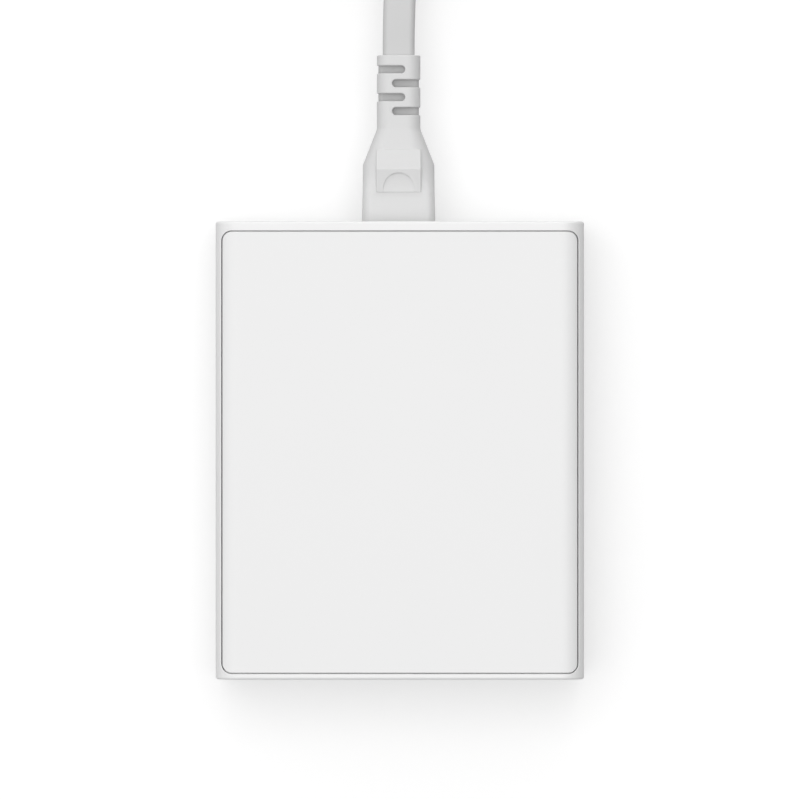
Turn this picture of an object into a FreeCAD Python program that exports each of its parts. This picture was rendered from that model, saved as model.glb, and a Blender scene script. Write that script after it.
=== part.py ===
"""A four-port desktop USB charger with its detachable flat mains lead.

Millimetres. +Z is up, +Y runs from the port face to the mains inlet, and the origin lies under
the middle of the housing, on the surface that its rubber feet stand on.
"""

import FreeCAD, Part
import math
import os
import re

import Sketcher

# Driving sizes: name, millimetres, what it is
SIZES = [
    ("body_width", 76.0, "housing, side to side"),
    ("body_length", 94.4, "housing, port face to inlet face"),
    ("body_height", 28.7, "housing without its feet"),
    ("side_round", 4.6, "radius along the four long edges"),
    ("edge_round", 0.5, "radius round the port face and the inlet face"),
    ("wall", 2.8, "side, front and back walls"),
    ("floor_thickness", 2.4, "floor of the tub"),
    ("cover_margin_side", 1.34, "housing side to the middle of the cover's groove"),
    ("cover_margin_front", 1.3, "port face to the middle of the groove"),
    ("cover_margin_back", 2.05, "inlet face to the middle of the groove"),
    ("cover_groove", 0.25, "width of the groove round the cover"),
    ("groove_depth", 1.0, "depth of the groove"),
    ("lip_clearance", 0.04, "cover's lip to the housing"),
    ("cover_corner", 1.9, "corner radius of the cover"),
    ("cover_thickness", 2.0, "top cover"),
    ("cover_reach", 4.6, "top face down to the ledge that carries the cover"),
    ("cover_skirt", 1.5, "wall of the cover's skirt"),
    ("cover_edge", 0.1, "softened edge of the groove"),
    ("foot_radius", 4.5, "rubber foot"),
    ("foot_height", 0.8, "how far a foot stands out"),
    ("foot_taper", 0.3, "draft of a foot"),
    ("foot_recess", 0.5, "how deep a foot is let into the floor"),
    ("foot_inset", 12.0, "housing side to the middle of a foot"),
    ("seat_clearance", 0.1, "play of a piece let into a recess"),
    ("post_radius", 2.6, "post under the main board"),
    ("post_pin_radius", 1.1, "pin on a post"),
    ("post_inset", 5.0, "board edge to the middle of a post"),
    ("board_thickness", 1.6, "circuit boards"),
    ("board_clearance", 0.4, "board to housing wall"),
    ("port_pitch", 16.5, "port to port"),
    ("port_setback", 0.6, "port face to the ports' mouths"),
    ("port_depth", 13.5, "length of a port's shell"),
    ("port_clearance", 0.15, "shell to the edge of its opening"),
    ("port_board_rise", 8.2, "ports' centre to the port board's top edge"),
    ("shell_wall", 0.3, "sheet of the ports' shells"),
    ("usb_c_width", 8.94, "USB-C shell, outside"),
    ("usb_c_height", 3.26, "USB-C shell, outside"),
    ("usb_c_tongue_width", 6.7, "USB-C tongue"),
    ("usb_c_tongue_height", 0.7, "USB-C tongue"),
    ("usb_c_tongue_length", 4.9, "USB-C tongue"),
    ("usb_c_mouth", 6.2, "depth of the open end of a USB-C shell"),
    ("usb_c_contact_pitch", 0.5, "USB-C contact strips"),
    ("usb_c_contact_width", 0.26, "USB-C contact strips"),
    ("usb_c_contact_length", 3.9, "USB-C contact strips"),
    ("usb_a_width", 13.1, "USB-A shell, outside"),
    ("usb_a_height", 5.7, "USB-A shell, outside"),
    ("usb_a_corner", 0.6, "corner radius of a USB-A shell"),
    ("usb_a_tongue_width", 11.1, "USB-A tongue"),
    ("usb_a_tongue_height", 1.9, "USB-A tongue"),
    ("usb_a_tongue_length", 8.4, "USB-A tongue"),
    ("usb_a_tongue_lift", 0.95, "shell's centre to the tongue's centre"),
    ("usb_a_mouth", 9.6, "depth of the open end of a USB-A shell"),
    ("usb_a_contact_pitch", 2.3, "USB-A contact strips"),
    ("usb_a_contact_width", 1.0, "USB-A contact strips"),
    ("usb_a_contact_length", 7.2, "USB-A contact strips"),
    ("contact_thickness", 0.1, "contact strips"),
    ("inlet_side", -0.25, "housing's middle to the inlet's middle"),
    ("inlet_width", 20.5, "inlet socket"),
    ("inlet_height", 11.4, "inlet socket"),
    ("inlet_depth", 16.0, "inlet face to the socket's inner end"),
    ("inlet_setback", 0.3, "inlet face to the socket's mouth"),
    ("inlet_corner", 1.6, "corner radius of the socket"),
    ("inlet_recess", 12.2, "inlet face to the recess's bottom"),
    ("pin_pitch", 8.6, "pole to pole"),
    ("pin_radius", 1.18, "inlet pin"),
    ("pin_reach", 9.0, "how far a pin stands into the recess"),
    ("pin_tail", 2.4, "pin behind the socket"),
    ("pin_leg_radius", 0.8, "leg of a pin, down to the board"),
    ("lobe_pitch", 6.8, "lobe to lobe of the connector's figure of eight"),
    ("lobe_radius", 3.8, "lobe of the figure of eight"),
    ("lobe_waist", 5.4, "height of its waist"),
    ("lobe_clearance", 0.2, "connector in the inlet"),
    ("plug_stop", 0.05, "inlet face to the connector's shoulder"),
    ("insert_length", 12.0, "connector inside the inlet"),
    ("contact_wall", 0.42, "sheet of a tube contact"),
    ("contact_clearance", 0.05, "tube contact to its pin and to its hole"),
    ("contact_length", 10.0, "tube contact"),
    ("plug_front_width", 15.2, "connector at the inlet"),
    ("plug_front_height", 9.4, "connector at the inlet"),
    ("plug_front_round", 1.8, "its corner radius"),
    ("plug_grip_width", 14.9, "connector where the grip starts"),
    ("plug_grip_height", 9.2, "connector where the grip starts"),
    ("plug_grip_start", 6.25, "inlet face to the grip"),
    ("plug_shoulder_width", 14.8, "connector where it starts to taper"),
    ("plug_shoulder_height", 8.4, "connector where it starts to taper"),
    ("plug_shoulder_round", 3.7, "its corner radius"),
    ("plug_shoulder_start", 11.9, "inlet face to the taper"),
    ("relief_width", 9.0, "strain relief"),
    ("relief_height", 6.6, "strain relief"),
    ("relief_round", 2.6, "its corner radius"),
    ("core_width", 8.4, "strain relief inside its slots"),
    ("core_height", 2.4, "strain relief inside its slots"),
    ("core_round", 0.9, "its corner radius"),
    ("relief_start", 19.3, "inlet face to the strain relief"),
    ("relief_length", 15.3, "strain relief"),
    ("relief_blend", 2.0, "hollow round where the taper meets the strain relief"),
    ("moulded_edge", 0.25, "softened edges of the pads and of the slots"),
    ("grip_pad_width", 9.3, "raised finger pad"),
    ("grip_ridge_start", 10.9, "inlet face to the pad's ridge"),
    ("grip_pad_end", 15.05, "inlet face to the pad's outer end"),
    ("grip_step", 0.35, "pad above the connector at its inner end"),
    ("grip_ridge", 1.0, "ridge above the pad's inner end"),
    ("grip_outer_drop", 1.9, "ridge down to the pad's outer end"),
    ("scoop_radius", 3.2, "half-round thumb scoop in the pad"),
    ("scoop_inset", 0.8, "pad's inner end to the scoop's middle"),
    ("slot_width", 1.6, "slot in the strain relief"),
    ("slot_pitch", 2.88, "slot to slot"),
    ("slot_inset", 2.96, "end of the strain relief to its first slot"),
    ("slot_overreach", 1.32, "slot past the middle of the strain relief"),
    ("cord_width", 6.6, "flat cord"),
    ("cord_thickness", 3.5, "flat cord"),
    ("cord_round", 1.2, "its corner radius"),
    ("coil_gap", 0.3, "play between turns"),
    ("coil_radius", 36.0, "middle of the coil's turns"),
    ("coil_distance", 68.2, "end of the strain relief to the coil's centre"),
    ("mains_side", 20.5, "charger's middle to the mains plug's line"),
    ("tie_width", 8.0, "strap round the coil"),
    ("tie_thickness", 0.6, "strap round the coil"),
    ("tie_play", 0.45, "strap to the curved side of the coil"),
    ("mains_relief_length", 10.0, "strain relief of the mains plug"),
    ("mains_distance", 34.0, "coil's centre to the mains plug"),
    ("mains_neck_width", 13.0, "mains plug at its strain relief"),
    ("mains_width", 35.0, "mains plug"),
    ("mains_thickness", 13.7, "mains plug"),
    ("mains_length", 33.0, "mains plug without its pins"),
    ("mains_taper_length", 17.0, "tapered part of the mains plug"),
    ("mains_nose", 3.0, "bevel beside the pin face"),
    ("mains_round", 1.8, "edges of the mains plug"),
    ("mains_grip_width", 20.0, "groove across the mains plug"),
    ("mains_grip_pitch", 3.2, "groove to groove"),
    ("mains_grip_depth", 0.6, "depth of a groove"),
    ("mains_pin_pitch", 18.6, "mains pins"),
    ("mains_pin_radius", 2.0, "mains pin at its tip"),
    ("mains_pin_core", 1.35, "mains pin inside its sleeve"),
    ("mains_sleeve_radius", 1.75, "insulating sleeve"),
    ("mains_sleeve_length", 10.0, "insulating sleeve"),
    ("mains_tip_length", 9.0, "bare end of a mains pin"),
    ("mains_tip_round", 1.4, "rounded end of a mains pin"),
    ("part_gap", 1.0, "component to component"),
    ("winding_clearance", 0.2, "winding to its core"),
    ("transformer_width", 24.0, "transformer core"),
    ("transformer_depth", 18.0, "transformer core"),
    ("transformer_leg", 9.0, "middle leg of the transformer core"),
    ("transformer_window", 4.8, "winding window of the transformer core"),
    ("transformer_y", 2.0, "place of the transformer"),
    ("inductor_width", 17.0, "power-factor choke core"),
    ("inductor_depth", 17.0, "power-factor choke core"),
    ("inductor_leg", 6.0, "middle leg of the choke core"),
    ("inductor_window", 3.5, "winding window of the choke core"),
    ("core_yoke", 3.4, "top and bottom of the cores"),
    ("winding_bulge", 3.0, "winding past the face of its core"),
    ("bulk_radius", 6.4, "high-voltage capacitor"),
    ("bulk_length", 21.0, "high-voltage capacitor"),
    ("bulk_bead", 0.5, "groove near the capacitor's end"),
    ("filter_width", 17.0, "line filter core"),
    ("filter_depth", 14.0, "line filter core"),
    ("filter_height", 13.0, "line filter core"),
    ("filter_leg", 5.0, "middle leg of the line filter"),
    ("filter_window", 3.4, "winding window of the line filter"),
    ("film_width", 16.0, "film capacitor"),
    ("film_depth", 7.0, "film capacitor"),
    ("film_height", 12.5, "film capacitor"),
    ("disc_radius", 3.6, "disc capacitor"),
    ("disc_thickness", 3.0, "disc capacitor"),
    ("surge_radius", 4.6, "surge protector disc"),
    ("surge_thickness", 4.2, "surge protector disc"),
    ("fuse_radius", 1.8, "fuse"),
    ("fuse_length", 9.0, "fuse"),
    ("bridge_width", 14.0, "bridge rectifier"),
    ("bridge_depth", 3.4, "bridge rectifier"),
    ("bridge_height", 10.5, "bridge rectifier"),
    ("sink_width", 30.0, "heat sink"),
    ("sink_thickness", 1.5, "heat sink"),
    ("sink_height", 13.0, "heat sink"),
    ("sink_foot", 4.0, "foot of the heat sink"),
    ("switch_size", 8.0, "power switch"),
    ("switch_thickness", 0.9, "power switch"),
    ("can_radius", 3.1, "output capacitor"),
    ("can_height", 11.0, "output capacitor"),
    ("choke_size", 6.2, "output inductor"),
    ("choke_height", 4.6, "output inductor"),
    ("output_pitch", 7.8, "output capacitors and inductors"),
    ("barrier_inset", 4.8, "board edge to the insulating sheet"),
    ("barrier_height", 14.0, "insulating sheet"),
    ("barrier_thickness", 0.4, "insulating sheet"),
    ("pad_thickness", 1.2, "thermal pad"),
    ("spreader_thickness", 0.8, "heat spreader"),
    ("spreader_inset", 4.0, "housing wall to the heat spreader"),
    ("header_pitch", 2.54, "header pins"),
    ("header_pin", 0.8, "header pins"),
    ("header_height", 5.0, "header pins"),
]

# Counts
USB_C_STRIPS = 12
RELIEF_SLOTS = 4
COIL_COLUMNS = 4
COIL_LAYERS = 2
OUTPUT_PARTS = 4
BULK_CANS = 2
HEADER_PINS = 6
MAINS_GRIPS = 4

# Places that several pieces share, as formulas of the sizes above
TOP = "(foot_height + body_height)"
AXIS = "(foot_height + body_height / 2)"
FLOOR = "(foot_height + floor_thickness)"
FRONT = "(-body_length / 2)"
BACK = "(body_length / 2)"
LEDGE = f"({TOP} - cover_reach)"
COVER_UNDER = f"({TOP} - cover_thickness)"
COVER_WIDTH = "(body_width - 2 * cover_margin_side - cover_groove)"
COVER_LENGTH = "(body_length - cover_margin_front - cover_margin_back - cover_groove)"
COVER_Y = "((cover_margin_front - cover_margin_back) / 2)"
INSIDE_WIDTH = "(body_width - 2 * wall)"
INSIDE_LENGTH = "(body_length - 2 * wall)"
BOARD_TOP = f"({AXIS} - inlet_height / 2)"
BOARD_WIDTH = f"({INSIDE_WIDTH} - 2 * board_clearance)"
BOARD_LENGTH = f"({INSIDE_LENGTH} - 2 * board_clearance)"
POST_X = f"({BOARD_WIDTH} / 2 - post_inset)"
POST_Y = f"({BOARD_LENGTH} / 2 - post_inset)"
PORT_MOUTH = f"({FRONT} + port_setback)"
PORT_END = f"({PORT_MOUTH} + port_depth)"
PORT_BOARD_BACK = f"({PORT_END} + board_thickness)"
OUTPUT_ROW = f"({PORT_BOARD_BACK} + header_pin + part_gap + can_radius)"
BARRIER_BACK = f"({OUTPUT_ROW} + can_radius + part_gap + barrier_thickness)"
TALL = f"({COVER_UNDER} - spreader_thickness - pad_thickness - {BOARD_TOP})"
PLUG_FACE = f"({BACK} + plug_stop)"
PLUG_TIP = f"({PLUG_FACE} - insert_length)"
RELIEF_START = f"({BACK} + relief_start)"
RELIEF_END = f"({RELIEF_START} + relief_length)"
TURN_STEP = "(cord_thickness + coil_gap)"
LAYER_STEP = "(cord_width + coil_gap)"
COIL_INNER = f"(coil_radius - {COIL_COLUMNS} / 2 * {TURN_STEP})"
COIL_OUTER = f"(coil_radius + {COIL_COLUMNS} / 2 * {TURN_STEP})"
OUTER_TURN = f"(coil_radius + ({COIL_COLUMNS} - 1) / 2 * {TURN_STEP})"
COIL_X = f"(mains_side - {OUTER_TURN})"
COIL_Y = f"({RELIEF_END} + coil_distance)"
COIL_HEIGHT = f"({COIL_LAYERS} * {LAYER_STEP})"
LEAD_MEET = f"sqrt({COIL_OUTER} ^ 2 - ({COIL_X} - inlet_side) ^ 2)"
TAIL_MEET = f"sqrt({COIL_OUTER} ^ 2 - {OUTER_TURN} ^ 2)"
LOWER_LAYER = f"(tie_thickness + {LAYER_STEP} / 2)"
UPPER_LAYER = f"({LOWER_LAYER} + {LAYER_STEP})"
MAINS_AXIS = "(mains_thickness / 2)"
MAINS_RELIEF = f"({COIL_Y} + mains_distance)"
MAINS_START = f"({MAINS_RELIEF} + mains_relief_length)"
MAINS_FACE = f"({MAINS_START} + mains_length)"

# The lead's chosen route down to the coil, and the tail's from the coil down to the mains plug:
# share of the way, share of the drop
LEAD_COURSE = [(0, 0), (0.35, 0), (1, 1)]
TAIL_COURSE = [(0, 0), (0.62, 1), (1, 1)]
ARC_SHARE = 0.45

ALMOST_HALF = 0.49
UP = FreeCAD.Vector(0, 0, 1)
TURNS = {
    "x": FreeCAD.Rotation(FreeCAD.Vector(0, 1, 0), 90),
    "y": FreeCAD.Rotation(FreeCAD.Vector(1, 0, 0), -90),
    "z": FreeCAD.Rotation(),
}

doc = FreeCAD.newDocument("usb_charger")
sheet = doc.addObject("Spreadsheet::Sheet", "Sizes")
for row, (alias, value, meaning) in enumerate(SIZES, start=1):
    sheet.set(f"A{row}", meaning)
    sheet.set(f"B{row}", str(value))
    sheet.setAlias(f"B{row}", alias)
reckoning = doc.addObject("Spreadsheet::Sheet", "Reckoning")
doc.recompute()
KNOWN = {alias for alias, value, meaning in SIZES}
PIECES = []


# Formulas and measures
def formula(text):
    """A formula with every size name turned into a reference to its cell."""
    return re.sub(r"[a-z][a-z_]*", lambda m: f"Sizes.{m[0]}" if m[0] in KNOWN else m[0], str(text))


def measure(text):
    """The value of a formula now, in millimetres, worked out in a spare cell."""
    reckoning.set("A1", "=" + formula(text))
    reckoning.recompute()
    return float(reckoning.get("A1"))


def bind(item, **formulas):
    for name, text in formulas.items():
        item.setExpression(name, formula(text))


def place(item, x="0", y="0", z="0", along="z"):
    item.Placement = FreeCAD.Placement(FreeCAD.Vector(), TURNS[along])
    for axis, text in zip("xyz", (x, y, z)):
        item.setExpression(f"Placement.Base.{axis}", formula(text))


def keep(item, label):
    """Register a finished piece under the name of its node."""
    item.Label = label
    PIECES.append(item)
    return item


# Part primitives
def block(width, depth, height, x="0", y="0", z="0"):
    """A box centred on x and y that stands on z."""
    item = doc.addObject("Part::Box", "Block")
    bind(item, Length=width, Width=depth, Height=height)
    place(item, f"({x}) - ({width}) / 2", f"({y}) - ({depth}) / 2", z)
    return item


def rod(radius, length, x="0", y="0", z="0", along="z"):
    """A round bar that starts at the point and runs along an axis."""
    item = doc.addObject("Part::Cylinder", "Rod")
    bind(item, Radius=radius, Height=length)
    place(item, x, y, z, along)
    return item


def taper(start_radius, end_radius, length, x="0", y="0", z="0", along="z"):
    item = doc.addObject("Part::Cone", "Taper")
    bind(item, Radius1=start_radius, Radius2=end_radius, Height=length)
    place(item, x, y, z, along)
    return item


def cut(base, *tools):
    for tool in tools:
        item = doc.addObject("Part::Cut", "Cut")
        item.Base = base
        item.Tool = tool
        base = item
    return base


def fuse(*solids):
    item = doc.addObject("Part::MultiFuse", "Fuse")
    item.Shapes = list(solids)
    item.Refine = True
    return item


def group(solids):
    item = doc.addObject("Part::Compound", "Group")
    item.Links = list(solids)
    return item


# PartDesign bodies, sketches and features
def new_body(label):
    return keep(doc.addObject("PartDesign::Body", label), label)


def sketch_on(body, role, x="0", y="0", z="0"):
    """A sketch on one of the body's origin planes, moved in that plane's own directions."""
    sketch = body.newObject("Sketcher::SketchObject", "Sketch")
    plane = next(item for item in body.Origin.OriginFeatures if item.Role == role)
    sketch.AttachmentSupport = (plane, [""])
    sketch.MapMode = "FlatFace"
    for axis, text in zip("xyz", (x, y, z)):
        sketch.setExpression(f"AttachmentOffset.Base.{axis}", formula(text))
    return sketch


def dimension(sketch, kind, *target, text):
    """A dimension of a sketch, bound to a formula."""
    index = sketch.addConstraint(Sketcher.Constraint(kind, *target, measure(text)))
    sketch.setExpression(f"Constraints[{index}]", formula(text))


def fix_point(sketch, edge, end, x, y):
    """Dimension a point of a sketch from its origin."""
    for kind, text, axis in (("DistanceX", x, -2), ("DistanceY", y, -1)):
        if abs(measure(text)) < 1e-9:
            sketch.addConstraint(Sketcher.Constraint("PointOnObject", edge, end, axis))
        elif measure(text) > 0:
            dimension(sketch, kind, -1, 1, edge, end, text=text)
        else:
            dimension(sketch, kind, edge, end, -1, 1, text=f"-({text})")


def draw_rounded(sketch, width, height, radius):
    """A rectangle with round corners, centred on the sketch's origin."""
    right, top, bend = measure(width) / 2, measure(height) / 2, measure(radius)
    corners = [(right, -top), (right, top), (-right, top), (-right, -top)]
    first = sketch.GeometryCount
    for number, (x, y) in enumerate(corners):
        past = corners[number - 1]
        length = math.hypot(x - past[0], y - past[1])
        step = FreeCAD.Vector(x - past[0], y - past[1], 0) * (bend / length)
        start = FreeCAD.Vector(*past, 0) + step
        end = FreeCAD.Vector(x, y, 0) - step
        turn = FreeCAD.Vector(-step.y, step.x, 0)
        angle = math.atan2(-turn.y, -turn.x)
        circle = Part.Circle(end + turn, UP, bend)
        sketch.addGeometry(Part.LineSegment(start, end))
        sketch.addGeometry(Part.ArcOfCircle(circle, angle, angle + math.pi / 2))
    for number in range(8):
        after = first + (number + 1) % 8
        sketch.addConstraint(Sketcher.Constraint("Tangent", first + number, 2, after, 1))
    for number, kind in enumerate(("Horizontal", "Vertical", "Horizontal", "Vertical")):
        sketch.addConstraint(Sketcher.Constraint(kind, first + 2 * number))
    for number in (3, 5, 7):
        sketch.addConstraint(Sketcher.Constraint("Equal", first + 1, first + number))
    dimension(sketch, "Radius", first + 1, text=radius)
    dimension(sketch, "DistanceX", -1, 1, first + 2, 1, text=f"({width}) / 2")
    dimension(sketch, "DistanceX", first + 6, 1, -1, 1, text=f"({width}) / 2")
    dimension(sketch, "DistanceY", -1, 1, first + 4, 1, text=f"({height}) / 2")
    dimension(sketch, "DistanceY", first, 1, -1, 1, text=f"({height}) / 2")


def draw_circle(sketch, radius, x="0", y="0"):
    centre = FreeCAD.Vector(measure(x), measure(y), 0)
    edge = sketch.addGeometry(Part.Circle(centre, UP, measure(radius)))
    dimension(sketch, "Radius", edge, text=radius)
    fix_point(sketch, edge, 3, x, y)


def draw_polygon(sketch, corners):
    """A closed outline of straight sides through corners given as formulas."""
    points = [FreeCAD.Vector(measure(x), measure(y), 0) for x, y in corners]
    first = sketch.GeometryCount
    for number, point in enumerate(points):
        sketch.addGeometry(Part.LineSegment(point, points[(number + 1) % len(points)]))
    for number, (x, y) in enumerate(corners):
        after = first + (number + 1) % len(corners)
        sketch.addConstraint(Sketcher.Constraint("Coincident", first + number, 2, after, 1))
        fix_point(sketch, first + number, 1, x, y)


def draw_figure_eight(sketch, pitch, radius, waist):
    """Two round lobes joined by a straight waist."""
    centre, bend, half = measure(pitch) / 2, measure(radius), measure(waist) / 2
    inner = math.asin(half / bend)
    lobes = ((centre, inner - math.pi, math.pi - inner), (-centre, inner, 2 * math.pi - inner))
    for x, start, end in lobes:
        circle = Part.Circle(FreeCAD.Vector(x, 0, 0), UP, bend)
        sketch.addGeometry(Part.ArcOfCircle(circle, start, end))
    edge = centre - bend * math.cos(inner)
    for side in (1, -1):
        start = FreeCAD.Vector(side * edge, side * half, 0)
        sketch.addGeometry(Part.LineSegment(start, FreeCAD.Vector(-start.x, start.y, 0)))
    for one, other in (((0, 2), (2, 1)), ((2, 2), (1, 1)), ((1, 2), (3, 1)), ((3, 2), (0, 1))):
        sketch.addConstraint(Sketcher.Constraint("Coincident", *one, *other))
    for line in (2, 3):
        sketch.addConstraint(Sketcher.Constraint("Horizontal", line))
    sketch.addConstraint(Sketcher.Constraint("Equal", 0, 1))
    dimension(sketch, "Radius", 0, text=radius)
    fix_point(sketch, 0, 3, f"({pitch}) / 2", "0")
    fix_point(sketch, 1, 3, f"-({pitch}) / 2", "0")
    dimension(sketch, "DistanceY", -1, 1, 2, 1, text=f"({waist}) / 2")
    dimension(sketch, "DistanceY", 3, 1, -1, 1, text=f"({waist}) / 2")


def pad(body, sketch, length, symmetric=False, backward=False):
    feature = body.newObject("PartDesign::Pad", "Pad")
    feature.Profile = sketch
    bind(feature, Length=length)
    feature.SideType = "Symmetric" if symmetric else "One side"
    feature.Reversed = backward
    doc.recompute()
    return feature


def pocket(body, sketch, length, symmetric=False, backward=False):
    before = body.Shape.Volume
    feature = body.newObject("PartDesign::Pocket", "Pocket")
    feature.Profile = sketch
    bind(feature, Length=length)
    feature.SideType = "Symmetric" if symmetric else "One side"
    feature.Reversed = backward
    doc.recompute()
    if body.Shape.Volume >= before - 1e-6:
        raise RuntimeError(f"a pocket of {body.Label} cuts nothing")
    return feature


def round_edges(body, radius, wanted):
    """Round the edges of the body's last feature that a test picks."""
    doc.recompute()
    last = body.Tip
    names = [f"Edge{n}" for n, edge in enumerate(last.Shape.Edges, start=1) if wanted(edge)]
    feature = body.newObject("PartDesign::Fillet", "Fillet")
    feature.Base = (last, names)
    bind(feature, Radius=radius)
    doc.recompute()
    return feature


def lies_on(edge, axis, level):
    """Whether an edge lies in a plane across an axis."""
    box = edge.BoundBox
    low, high = {"x": (box.XMin, box.XMax), "y": (box.YMin, box.YMax), "z": (box.ZMin, box.ZMax)}[axis]
    return abs(low - level) < 1e-4 and abs(high - level) < 1e-4


# Housing
def port_places():
    """Each port's name, x place and kind, from left to right on the port face."""
    kinds = ["usb_c", "usb_c", "usb_a", "usb_a"]
    for number, kind in enumerate(kinds):
        yield f"{number % 2 + 1}", f"(port_pitch * {number - (len(kinds) - 1) / 2})", kind


def port_outline(kind, grow):
    """Width, height and corner radius of a port's shell, grown all round."""
    if kind == "usb_c":
        height = f"(usb_c_height + 2 * ({grow}))"
        return f"(usb_c_width + 2 * ({grow}))", height, f"({height} * {ALMOST_HALF})"
    return f"(usb_a_width + 2 * ({grow}))", f"(usb_a_height + 2 * ({grow}))", f"(usb_a_corner + ({grow}))"


def foot_places():
    for side in (-1, 1):
        for end in (-1, 1):
            yield f"({side} * (body_width / 2 - foot_inset))", f"({end} * (body_length / 2 - foot_inset))"


def build_lower_housing():
    body = new_body("lower_housing")
    profile = sketch_on(body, "XZ_Plane", y=AXIS)
    draw_rounded(profile, "body_width", "body_height", "side_round")
    pad(body, profile, "body_length", symmetric=True)
    ends = (measure(FRONT), measure(BACK))
    round_edges(body, "edge_round", lambda edge: any(lies_on(edge, "y", end) for end in ends))

    # The inside, with the same round lower corners, and the ledge for the cover above it
    inside_top = f"({TOP} - cover_groove)"
    inside = sketch_on(body, "XZ_Plane", y=f"({FLOOR} + {inside_top}) / 2")
    draw_rounded(inside, INSIDE_WIDTH, f"({inside_top} - {FLOOR})", "max(side_round - wall; 0.5)")
    pocket(body, inside, INSIDE_LENGTH, symmetric=True)
    recess = sketch_on(body, "XY_Plane", y=COVER_Y, z=LEDGE)
    draw_rounded(
        recess,
        f"({COVER_WIDTH} + 2 * cover_groove)",
        f"({COVER_LENGTH} + 2 * cover_groove)",
        "(cover_corner + cover_groove)",
    )
    pocket(body, recess, "cover_reach + 1", backward=True)
    rim_inside = measure(f"{COVER_WIDTH} / 2 + cover_groove")
    rim_front = measure(f"{COVER_Y} - {COVER_LENGTH} / 2 - cover_groove")
    rim_back = measure(f"{COVER_Y} + {COVER_LENGTH} / 2 + cover_groove")
    lowest = measure(LEDGE) + measure("cover_edge")

    def on_rim(edge):
        """An edge of the recess at the outer surface, where the groove starts."""
        box = edge.BoundBox
        inside_x = abs(box.XMin) < rim_inside + 1e-3 and abs(box.XMax) < rim_inside + 1e-3
        inside_y = box.YMin > rim_front - 1e-3 and box.YMax < rim_back + 1e-3
        upright = box.ZMax - box.ZMin > measure("cover_reach") / 2
        return inside_x and inside_y and box.ZMin > lowest and not upright

    round_edges(body, "cover_edge", on_rim)

    # Openings for the ports and for the inlet
    for number, x, kind in port_places():
        opening = sketch_on(body, "XZ_Plane", x=x, y=AXIS, z=f"-{FRONT}")
        draw_rounded(opening, *port_outline(kind, "port_clearance"))
        pocket(body, opening, "wall + edge_round")
    inlet = sketch_on(body, "XZ_Plane", x="inlet_side", y=AXIS, z=f"-{BACK}")
    draw_rounded(
        inlet,
        "(inlet_width + 2 * seat_clearance)",
        "(inlet_height + 2 * seat_clearance)",
        "(inlet_corner + seat_clearance)",
    )
    pocket(body, inlet, "wall + edge_round", backward=True)

    # Posts with pins for the main board, and shallow seats for the feet
    posts = sketch_on(body, "XY_Plane", z=f"{FLOOR} - floor_thickness / 2")
    pins = sketch_on(body, "XY_Plane", z=f"{BOARD_TOP} - board_thickness")
    for side in (-1, 1):
        for end in (-1, 1):
            draw_circle(posts, "post_radius", f"{side} * {POST_X}", f"{end} * {POST_Y}")
            draw_circle(pins, "post_pin_radius", f"{side} * {POST_X}", f"{end} * {POST_Y}")
    pad(body, posts, f"{BOARD_TOP} - board_thickness - {FLOOR} + floor_thickness / 2")
    pad(body, pins, "board_thickness")
    seats = sketch_on(body, "XY_Plane", z="foot_height")
    for x, y in foot_places():
        draw_circle(seats, "foot_radius + seat_clearance", x, y)
    pocket(body, seats, "foot_recess", backward=True)
    return body


def build_top_cover():
    """The lid with its skirt, and a lip round it that closes the groove a little below the surface."""
    plate = doc.addObject("PartDesign::Body", "CoverPlate")
    shape_cover(plate, "0", "0")
    round_edges(plate, "cover_edge", lambda edge: edge.BoundBox.ZMin > measure(LEDGE) + 1e-3 and outer(edge))
    hollow_cover(plate, "cover_reach - cover_thickness")
    lip = doc.addObject("PartDesign::Body", "CoverLip")
    shape_cover(lip, "(cover_groove - lip_clearance)", "groove_depth")
    hollow_cover(lip, "cover_reach")
    keep(fuse(plate, lip), "top_cover")


def shape_cover(body, grow, depth):
    """The cover's block, grown sideways, up to a depth below the housing's outer shape."""
    outline = sketch_on(body, "XY_Plane", y=COVER_Y, z=LEDGE)
    width, length = f"({COVER_WIDTH} + 2 * {grow})", f"({COVER_LENGTH} + 2 * {grow})"
    draw_rounded(outline, width, length, f"(cover_corner + {grow})")
    pad(body, outline, "cover_reach")
    trim = sketch_on(body, "XZ_Plane", y=AXIS)
    draw_rounded(trim, "(body_width + 2 * side_round)", "(body_height + 2 * side_round)", "side_round / 2")
    draw_rounded(
        trim, f"(body_width - 2 * {depth})", f"(body_height - 2 * {depth})", f"(side_round - {depth})")
    pocket(body, trim, "2 * body_length", symmetric=True)


def hollow_cover(body, height):
    hollow = sketch_on(body, "XY_Plane", y=COVER_Y, z=LEDGE)
    draw_rounded(
        hollow,
        f"({COVER_WIDTH} - 2 * cover_skirt)",
        f"({COVER_LENGTH} - 2 * cover_skirt)",
        "max(cover_corner - cover_skirt; 0.3)",
    )
    pocket(body, hollow, height, backward=True)


def outer(edge):
    """Whether an edge belongs to the outline of the cover's outer face."""
    box = edge.BoundBox
    along_side = abs(abs(box.Center.x) - measure(COVER_WIDTH) / 2) < 1e-3
    along_end = abs(abs(box.Center.y - measure(COVER_Y)) - measure(COVER_LENGTH) / 2) < 1e-3
    corner = box.XLength > 1e-3 and box.YLength > 1e-3 and box.ZLength < measure("cover_reach") / 2
    upright = box.XLength < 1e-3 and box.YLength < 1e-3
    return (along_side or along_end or corner) and not upright


def build_rubber_feet():
    feet = []
    for x, y in foot_places():
        sole = taper("foot_radius - foot_taper", "foot_radius", "foot_height", x, y)
        feet.append(fuse(sole, rod("foot_radius", "foot_recess", x, y, "foot_height")))
    keep(group(feet), "rubber_feet")


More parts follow.
